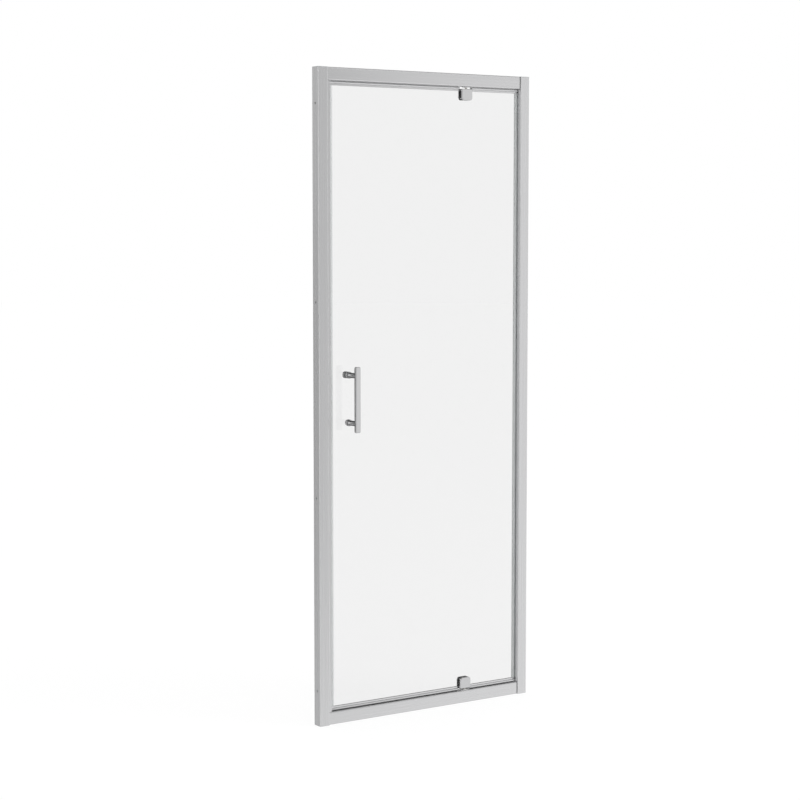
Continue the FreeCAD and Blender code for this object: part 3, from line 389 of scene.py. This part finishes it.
def clear_vinyl(base):
    """Extruded clear PVC: nearly as clear as the glass and softer in its gloss, with faint die
    lines along its length, drawn 1.5 mm apart because the real ones are too fine to show."""
    tree = new_material("clear_vinyl").node_tree
    lines = drawn_lines(tree, "z", spacing=1.5 * MM, stretch=300)
    surfaced(
        tree, {"IOR": 1.53, "Transmission Weight": 0.95},
        tone=(lines, base, 0.02),
        gloss=(lines, 0.04, 0.12),
        relief=(lines, 0.2, 0.03 * MM),
    )


def moulded(name, base, roughness, grain, depth):
    """A moulded or calendered polymer: a fine matt grain with no direction.

    grain is the distance between its bumps, drawn coarser than the real one so that it shows, and
    depth is how high they are, both in metres.
    """
    tree = new_material(name).node_tree
    spots = patches(tree, spacing=grain)
    surfaced(
        tree, {},
        tone=(spots, base, 0.03),
        gloss=(spots, roughness - 0.06, roughness + 0.06),
        relief=(spots, 0.4, depth),
    )


def dress(names, material):
    """Puts the material of that name on the CAD nodes of those names."""
    for name in names:
        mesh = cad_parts[name].data
        mesh.materials.clear()
        mesh.materials.append(bpy.data.materials[material])


def named(*words):
    """The names of the CAD nodes that hold any of the words."""
    return [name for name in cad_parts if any(word in name for word in words)]


# ---- operators: finishes and rounded pieces ----


class DOOR_OT_finishes(bpy.types.Operator):
    """Makes the material of every metal, plastic and rubber, and of the glass"""

    bl_idname = "door.finishes"
    bl_label = "Finishes"

    def execute(self, context):
        look = context.scene.door_finishes
        anodised_aluminium("anodised_aluminium_upright", "z", look.silver, look.silver_roughness)
        anodised_aluminium("anodised_aluminium_level", "x", look.silver, look.silver_roughness)
        chromium_plate(look.chrome, look.chrome_roughness)
        turned_steel(look.steel)
        toughened_glass(look.glass)
        clear_vinyl(look.vinyl)
        moulded("moulded_nylon", look.nylon, 0.55, grain=0.8 * MM, depth=0.03 * MM)
        moulded("moulded_acetal", look.acetal, 0.40, grain=1.0 * MM, depth=0.01 * MM)
        moulded("soft_rubber", look.rubber, 0.70, grain=0.6 * MM, depth=0.02 * MM)
        moulded("sleeved_magnet_strip", look.magnet, 0.50, grain=0.5 * MM, depth=0.01 * MM)
        return {"FINISHED"}


class DOOR_OT_profiles(bpy.types.Operator):
    """Anodises the wall channels, jambs, rails and edge trims, with lines along each profile"""

    bl_idname = "door.profiles"
    bl_label = "Frame profiles"

    def execute(self, context):
        dress(named("wall_channel", "jamb"), "anodised_aluminium_upright")
        dress(named("rail", "trim"), "anodised_aluminium_level")
        dress(named("channel_cap", "carrier"), "moulded_nylon")
        return {"FINISHED"}


class DOOR_OT_adjuster_caps(bpy.types.Operator):
    """Domes the snap caps over the adjuster screws"""

    bl_idname = "door.adjuster_caps"
    bl_label = "Adjuster caps"

    caps_a_side = 3
    rim_drop = 0.9 * MM  # from the crown down to the straight side
    flat_share = 0.55  # of the radius, where the crown is level
    ease = 1.4 * MM

    def execute(self, context):
        for side in ("left", "right"):
            node = side + "_adjuster_caps"
            low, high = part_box(node)
            radius, base, crown = round_node(node)
            profile = rounded([
                (radius, base), (radius, crown - self.rim_drop),
                (radius * self.flat_share, crown), (POLE, crown),
            ], self.ease, closed=False)
            across = middle(node)[0]
            levels = np.linspace(low[2] + radius, high[2] - radius, self.caps_a_side)
            shapes = [turned((across, 0, level), profile) for level in levels]
            piece(side + "_domed_caps", shapes, "moulded_nylon", "frame", "grey_nylon", node)
        dress(named("adjuster_screws"), "turned_stainless_steel")
        return {"FINISHED"}


class DOOR_OT_pivots(bpy.types.Operator):
    """Chromes the pivot clamps and gives them screws with hexagon sockets"""

    bl_idname = "door.pivots"
    bl_label = "Pivots"

    def execute(self, context):
        dress(named("pivot_block", "rear_plate", "shoe"), "chromium_plate")
        dress(
            named("pivot_pin", "anchor_plate", "corner_screws", "shoe_screws"),
            "turned_stainless_steel",
        )
        dress(named("bush"), "moulded_acetal")
        dress(named("gasket"), "soft_rubber")
        self.clamp_screws()
        return {"FINISHED"}

    def clamp_screws(self):
        """Four countersunk screws, each with a hexagon socket that ends in a drilled cone."""
        low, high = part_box("clamp_screws")
        head, shank, socket = 3.8 * MM, 2.0 * MM, 1.45 * MM  # radii
        tip_bevel, head_height, head_ease = 0.4 * MM, 1.8 * MM, 0.15 * MM
        socket_ease, socket_depth, cone_depth = 0.1 * MM, 1.3 * MM, 1.7 * MM
        tip, face = low[1], high[1]
        profile = [
            (POLE, tip), (shank - tip_bevel, tip), (shank, tip + tip_bevel),
            (shank, face - head_height), (head, face - head_ease), (head - head_ease, face),
            (socket + socket_ease, face), (socket, face - socket_ease),
            (socket, face - socket_depth), (POLE, face - cone_depth),
        ]
        hexagonal = (0, 0, 0, 0, 0, 0, 1, 1, 1, 0)
        shapes = [
            turned((across, 0, level), profile, hexagonal)
            for across in (low[0] + head, high[0] - head)
            for level in (low[2] + head, high[2] - head)
        ]
        piece(
            "socket_clamp_screws", shapes, "turned_stainless_steel", "door", "stainless_steel",
            "clamp_screws",
        )


class DOOR_OT_handle(bpy.types.Operator):
    """Turns the handle's posts, roses, inside knob and screw cap, with eased edges"""

    bl_idname = "door.handle"
    bl_label = "Handle"

    def execute(self, context):
        dress(["handle_bar"], "chromium_plate")
        dress(["handle_studs"], "turned_stainless_steel")
        dress(named("washers"), "soft_rubber")
        dress(["handle_sleeves"], "clear_vinyl")
        for level in ("upper", "lower"):
            self.post(level)
            self.rose(level)
        self.knob()
        self.screw_cap()
        return {"FINISHED"}

    def turn(self, name, node, profile, ease):
        """A chromed piece turned to a profile, its edges rounded by ease, in a node's place."""
        smooth = rounded(profile, ease, closed=False)
        piece(name, [turned(middle(node), smooth)], "chromium_plate", "door", "chrome", node)

    def post(self, level):
        """A round stem with a fine groove where it meets the bar, and its spigot in the bar."""
        node = level + "_handle_post"
        radius, front, back = round_node(node)
        bar_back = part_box("handle_bar")[1][1]
        spigot, groove = 4 * MM, 0.5 * MM
        self.turn(level + "_turned_post", node, [
            (POLE, front), (spigot, front), (spigot, bar_back), (radius - groove, bar_back),
            (radius - groove, bar_back + groove), (radius, bar_back + groove * 2),
            (radius, back), (POLE, back),
        ], 0.3 * MM)

    def rose(self, level):
        """A disc whose front is dished a little towards the post."""
        node = level + "_handle_rose"
        radius, front, back = round_node(node)
        foot, dish, slope = 8 * MM, 0.5 * MM, 0.6 * MM
        self.turn(level + "_turned_rose", node, [
            (POLE, front + dish), (foot, front + dish), (foot + slope, front),
            (radius, front), (radius, back), (POLE, back),
        ], 0.6 * MM)

    def knob(self):
        """A knob on a neck; its face is a low dome."""
        radius, front, back = round_node("inside_knob")
        neck, neck_length, dome, flat_share = 5.5 * MM, 4.5 * MM, 0.7 * MM, 0.5
        shoulder = front + neck_length
        self.turn("turned_inside_knob", "inside_knob", [
            (POLE, front), (neck, front), (neck, shoulder), (radius, shoulder),
            (radius, back - dome), (radius * flat_share, back), (POLE, back),
        ], 1.0 * MM)

    def screw_cap(self):
        """A low round nut; its face is a low dome."""
        radius, front, back = round_node("lower_screw_cap")
        dome, flat_share = 0.5 * MM, 0.5
        self.turn("turned_screw_cap", "lower_screw_cap", [
            (POLE, front), (radius, front), (radius, back - dome), (radius * flat_share, back),
            (POLE, back),
        ], 1.5 * MM)


class DOOR_OT_seals(bpy.types.Operator):
    """Draws the soft edge seals along the glass and the wipers under the trims"""

    bl_idname = "door.seals"
    bl_label = "Seals and wipers"

    air = 0.05 * MM  # between the seals and the glass, so that light crosses each skin in turn
    leg = 1.1 * MM  # thickness of the two legs that grip the glass
    seat = 0.1 * MM  # from the glass's edge to the bottom of the groove between the legs
    web = 1.2 * MM  # thickness of the seal behind that groove

    def execute(self, context):
        dress(["strike_magnet", "door_magnet"], "sleeved_magnet_strip")
        self.closing_seal()
        self.hinge_seal()
        for edge in ("bottom", "top"):
            for run in ("long", "short"):
                self.wiper(edge, run)
        return {"FINISHED"}

    def draw_out(self, name, node, outline, axis, material, slot):
        """A soft profile drawn out along an axis over a node's length, in that node's place."""
        low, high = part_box(node)
        shape = drawn_along(outline, axis, low[axis], high[axis])
        piece(name, [shape], material, "door", slot, node)

    def closing_seal(self):
        """Two legs that grip the glass, and a soft square tube in front of its edge."""
        low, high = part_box("closing_edge_seal")
        glass_low, glass_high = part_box("glass_panel")
        front, back = glass_low[1] - self.air, glass_high[1] + self.air
        seat = glass_low[0] - self.seat
        web = seat - self.web
        outline = rounded([
            (high[0], front - self.leg), (high[0], front), (seat, front), (seat, back),
            (high[0], back), (high[0], back + self.leg), (web, back + self.leg), (web, high[1]),
            (low[0], high[1]), (low[0], low[1]), (web, low[1]), (web, front - self.leg),
        ], 0.9 * MM)
        self.draw_out(
            "closing_seal_profile", "closing_edge_seal", outline, 2, "clear_vinyl", "clear_vinyl"
        )

    def hinge_seal(self):
        """Two legs that grip the glass, and a fin that leans forwards to the jamb."""
        low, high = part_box("hinge_edge_seal")
        glass_low, glass_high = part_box("glass_panel")
        front, back = glass_low[1] - self.air, glass_high[1] + self.air
        seat = glass_high[0] + self.seat
        web = seat + self.web
        root = (glass_low[1] + glass_high[1]) / 2 - 0.9 * MM
        fin_lean, fin_tip, fin_root = 1.0 * MM, 0.2 * MM, 1.4 * MM
        outline = rounded([
            (low[0], front - self.leg), (web, front - self.leg), (web, root),
            (high[0], root - fin_lean), (high[0], root - fin_tip), (web, root + fin_root),
            (web, back + self.leg), (low[0], back + self.leg), (low[0], back), (seat, back),
            (seat, front), (low[0], front),
        ], 0.6 * MM)
        self.draw_out(
            "hinge_seal_profile", "hinge_edge_seal", outline, 2, "clear_vinyl", "clear_vinyl"
        )

    def wiper(self, edge, run):
        """A blade held in the trim's groove; its tip is thinner and leans a little forwards."""
        node = edge + "_" + run + "_wiper"
        low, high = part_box(node)
        root, tip = (high[2], low[2]) if edge == "bottom" else (low[2], high[2])
        waist = tip + (root - tip) * 0.25
        tip_front, tip_back = 0.3 * MM, 0.7 * MM
        outline = rounded([
            (low[1], root), (low[1], waist), (low[1] + tip_front, tip), (high[1] - tip_back, tip),
            (high[1], waist), (high[1], root),
        ], 0.5 * MM)
        self.draw_out(node + "_lip", node, outline, 0, "soft_rubber", "grey_rubber")


class DOOR_OT_pane(bpy.types.Operator):
    """Glazes the door leaf"""

    bl_idname = "door.pane"
    bl_label = "Glass pane"

    def execute(self, context):
        dress(["glass_panel"], "toughened_float_glass")
        return {"FINISHED"}


# ---- operators: stage ----

# Dark and grey boards that stand round the object for its metal to mirror, soft at their edges:
# what each is for; the direction of its middle; its half width, half height and softness in
# degrees; and how dark it is, from 0 to 1.
BOARDS = (
    ("left sides of the pivot blocks", (-0.5906, 0.8070, -0.087), (4.2, 16, 2), 1.0),
    ("left sides of the handle", (-0.5446, 0.8387, -0.089), (3.0, 5, 2), 1.0),
    ("tops of the chrome", (0.55, 0.80, 0.26), (9, 6, 5), 0.93),
    ("shade on the front from the upper left", (0.320, -0.936, 0.148), (10.5, 20.5, 3), 1.0),
    ("shade on the left corners", (-0.83, -0.55, -0.05), (30, 32, 14), 0.15),
    ("ceiling behind", (0.0, 0.857, 0.515), (34, 10, 4), 0.95),
    ("floor behind", (0.03, 0.857, -0.515), (26, 10, 4), 0.95),
    ("ceiling", (0.0, 0.0, 1.0), (200, 48, 6), 0.60),
    ("floor", (0.0, 0.0, -1.0), (200, 42, 6), 0.40),
)

FLOOR_RINGS, FLOOR_SPOKES = 24, 96
FLOOR_CROWDING = 3  # the power that draws the floor's rings closer together near its middle
FLOOR_GLOW = 1.06  # a little over white, because the rest of the mix renders darker than white
FLOOR_GLOW_SHARE = 0.85  # of what the eye sees of the floor; the rest takes the object's shadow


def board(tree, way, purpose, centre, size, darkness):
    """How much light a board lets by in a direction: 1 beside it, 1 less its darkness on it.

    The angles from the board's centre are taken across and up.  Each goes through a smooth step
    that falls from 1 to 0 round the board's half size, twice the softness wide, and the two
    steps are multiplied.
    """
    across, up, soft = (math.radians(angle) for angle in size)
    azimuth = math.atan2(centre[0], centre[1])
    faced = add(
        tree, "ShaderNodeVectorRotate", {"rotation_type": "Z_AXIS", "Angle": azimuth},
        {"Vector": way},
    )
    parts = add(tree, "ShaderNodeSeparateXYZ", links={"Vector": faced.outputs["Vector"]})
    aside = add(
        tree, "ShaderNodeMath", {"operation": "ARCTAN2"},
        {0: parts.outputs["X"], 1: parts.outputs["Y"]},
    )
    height = add(tree, "ShaderNodeMath", {"operation": "ARCSINE"}, {0: parts.outputs["Z"]})
    raised = add(
        tree, "ShaderNodeMath", {"operation": "SUBTRACT", 1: math.asin(centre[2])},
        {0: height.outputs["Value"]},
    )
    steps = []
    for angle, half in ((aside, across), (raised, up)):
        away = add(
            tree, "ShaderNodeMath", {"operation": "ABSOLUTE"}, {0: angle.outputs["Value"]}
        )
        step = add(
            tree, "ShaderNodeMapRange",
            {
                "interpolation_type": "SMOOTHSTEP",
                "From Min": half + soft, "From Max": half - soft, "To Min": 0.0, "To Max": 1.0,
            },
            {"Value": away.outputs["Value"]},
        )
        steps.append(step.outputs["Result"])
    both = add(tree, "ShaderNodeMath", {"operation": "MULTIPLY"}, {0: steps[0], 1: steps[1]})
    passed = add(
        tree, "ShaderNodeMath",
        {"operation": "MULTIPLY_ADD", "label": purpose, 1: -darkness, 2: 1.0},
        {0: both.outputs["Value"]},
    )
    return passed.outputs["Value"]


def seen_plainly(tree):
    """1 on rays to eye, metal and glass, and 0 on rays that light matt surfaces."""
    path = add(tree, "ShaderNodeLightPath")
    seen = path.outputs["Is Camera Ray"]
    for kind in ("Is Glossy Ray", "Is Transmission Ray"):
        seen = add(
            tree, "ShaderNodeMath", {"operation": "MAXIMUM"}, {0: seen, 1: path.outputs[kind]}
        ).outputs["Value"]
    return seen


def mirrored(tree):
    """1 on rays that a surface has mirrored, and 0 on rays from the eye or through glass."""
    path = add(tree, "ShaderNodeLightPath")
    return add(
        tree, "ShaderNodeMath", {"operation": "GREATER_THAN", 1: 0.5},
        {0: path.outputs["Glossy Depth"]},
    ).outputs["Value"]


def surroundings(scene, daylight):
    """An even white room; matt surfaces get a little less light, and metal mirrors the boards."""
    world = bpy.data.worlds.new("white_room")
    world.use_nodes = True
    tree = world.node_tree
    tree.nodes.clear()
    way = add(tree, "ShaderNodeTexCoord").outputs["Generated"]
    tone, *others = [board(tree, way, *row) for row in BOARDS]
    for passed in others:
        tone = add(
            tree, "ShaderNodeMath", {"operation": "MULTIPLY"}, {0: tone, 1: passed}
        ).outputs["Value"]
    lit = add(tree, "ShaderNodeBackground", {"Color": WHITE, "Strength": daylight})
    plain = add(tree, "ShaderNodeBackground", {"Color": WHITE, "Strength": 1.0})
    boarded = add(tree, "ShaderNodeBackground", {"Strength": 1.0}, {"Color": tone})
    shown = add(tree, "ShaderNodeMixShader", links={
        0: mirrored(tree), 1: plain.outputs["Background"], 2: boarded.outputs["Background"],
    })
    room = add(tree, "ShaderNodeMixShader", links={
        0: seen_plainly(tree), 1: lit.outputs["Background"], 2: shown.outputs["Shader"],
    })
    add(tree, "ShaderNodeOutputWorld", links={"Surface": room.outputs["Shader"]})
    scene.world = world


def floor_finish(tint):
    """White studio floor: it glows to the eye so that it meets the room, keeps the object's
    shadow, and lets mirrored rays through to the boards."""
    material = new_material("white_floor")
    tree = material.node_tree
    lit = add(tree, "ShaderNodeBsdfDiffuse", {"Color": list(tint)})
    glow = add(tree, "ShaderNodeEmission", {"Color": WHITE, "Strength": FLOOR_GLOW})
    gone = add(tree, "ShaderNodeBsdfTransparent")
    mostly = add(
        tree, "ShaderNodeMixShader", {0: FLOOR_GLOW_SHARE},
        {1: lit.outputs["BSDF"], 2: glow.outputs["Emission"]},
    )
    seen = add(tree, "ShaderNodeMixShader", links={
        0: seen_plainly(tree), 1: lit.outputs["BSDF"], 2: mostly.outputs["Shader"],
    })
    whole = add(tree, "ShaderNodeMixShader", links={
        0: mirrored(tree), 1: seen.outputs["Shader"], 2: gone.outputs["BSDF"],
    })
    add(tree, "ShaderNodeOutputMaterial", links={"Surface": whole.outputs["Shader"]})
    return material


def pale_floor(radius, tint):
    """A round floor: the polar grid (r cos t, r sin t, 0), with rings closer near the middle."""
    r = radius * np.linspace(0, 1, FLOOR_RINGS) ** FLOOR_CROWDING
    t = np.linspace(0, 2 * math.pi, FLOOR_SPOKES, endpoint=False)
    level = np.zeros((FLOOR_RINGS, FLOOR_SPOKES))
    grid = np.stack([np.outer(r, np.cos(t)), np.outer(r, np.sin(t)), level], axis=-1)
    quads = wrapped(FLOOR_RINGS, FLOOR_SPOKES)[1]
    mesh = bpy.data.meshes.new("floor")
    mesh.from_pydata(grid.reshape(-1, 3).tolist(), [], quads.tolist())
    mesh.materials.append(floor_finish(tint))
    floor = bpy.data.objects.new("floor", mesh)
    bpy.context.scene.collection.objects.link(floor)


def lamp(name, place, target, size, power):
    """A square soft box that faces its target and doesn't show in metal or glass."""
    data = bpy.data.lights.new(name, "AREA")
    data.size = size
    data.energy = power
    made = bpy.data.objects.new(name, data)
    made.location = place
    aim = np.subtract(target, place)
    flat = math.hypot(aim[0], aim[1])
    made.rotation_euler = (math.atan2(flat, -aim[2]), 0, math.atan2(-aim[0], aim[1]))
    made.visible_glossy = False
    made.visible_transmission = False
    bpy.context.scene.collection.objects.link(made)


class DOOR_OT_stage(bpy.types.Operator):
    """Sets the floor, the light and the camera"""

    bl_idname = "door.stage"
    bl_label = "Floor, light and camera"

    def execute(self, context):
        scene = context.scene
        studio = scene.door_studio
        surroundings(scene, studio.daylight)
        pale_floor(studio.floor_radius, studio.floor)
        lamp("key_box", place=(3.0, -3.5, 3.2), target=(0, 0, 0.9), size=2.0, power=60)
        data = bpy.data.cameras.new("camera")
        data.sensor_width = SENSOR_WIDTH
        data.lens = studio.lens
        data.clip_end = 200  # metres, past the floor's far edge
        camera = bpy.data.objects.new("camera", data)
        camera.location = studio.camera_place
        camera.rotation_euler = studio.camera_turn
        scene.collection.objects.link(camera)
        scene.camera = camera
        scene.view_settings.view_transform = "Standard"
        return {"FINISHED"}


class DOOR_PT_panel(bpy.types.Panel):
    """Lists the door's pieces in the sidebar"""

    bl_idname = "DOOR_PT_panel"
    bl_label = "Shower door"
    bl_space_type = "VIEW_3D"
    bl_region_type = "UI"
    bl_category = "Shower door"

    def draw(self, context):
        for step in STEPS:
            self.layout.operator(step.bl_idname)


STEPS = (
    DOOR_OT_finishes, DOOR_OT_profiles, DOOR_OT_adjuster_caps, DOOR_OT_pivots, DOOR_OT_handle,
    DOOR_OT_seals, DOOR_OT_pane, DOOR_OT_stage,
)
CLASSES = (DoorFinishes, DoorStudio) + STEPS + (DOOR_PT_panel,)


def register():
    """Makes the classes known to Blender, and hangs the two groups of settings on the scene."""
    for item in CLASSES:
        bpy.utils.register_class(item)
    bpy.types.Scene.door_finishes = bpy.props.PointerProperty(type=DoorFinishes)
    bpy.types.Scene.door_studio = bpy.props.PointerProperty(type=DoorStudio)


def unregister():
    """Takes back what register did."""
    del bpy.types.Scene.door_studio
    del bpy.types.Scene.door_finishes
    for item in reversed(CLASSES):
        bpy.utils.unregister_class(item)


def main():
    register()
    for step in STEPS:
        family, name = step.bl_idname.split(".")
        getattr(getattr(bpy.ops, family), name)()


if __name__ == "__main__":
    main()
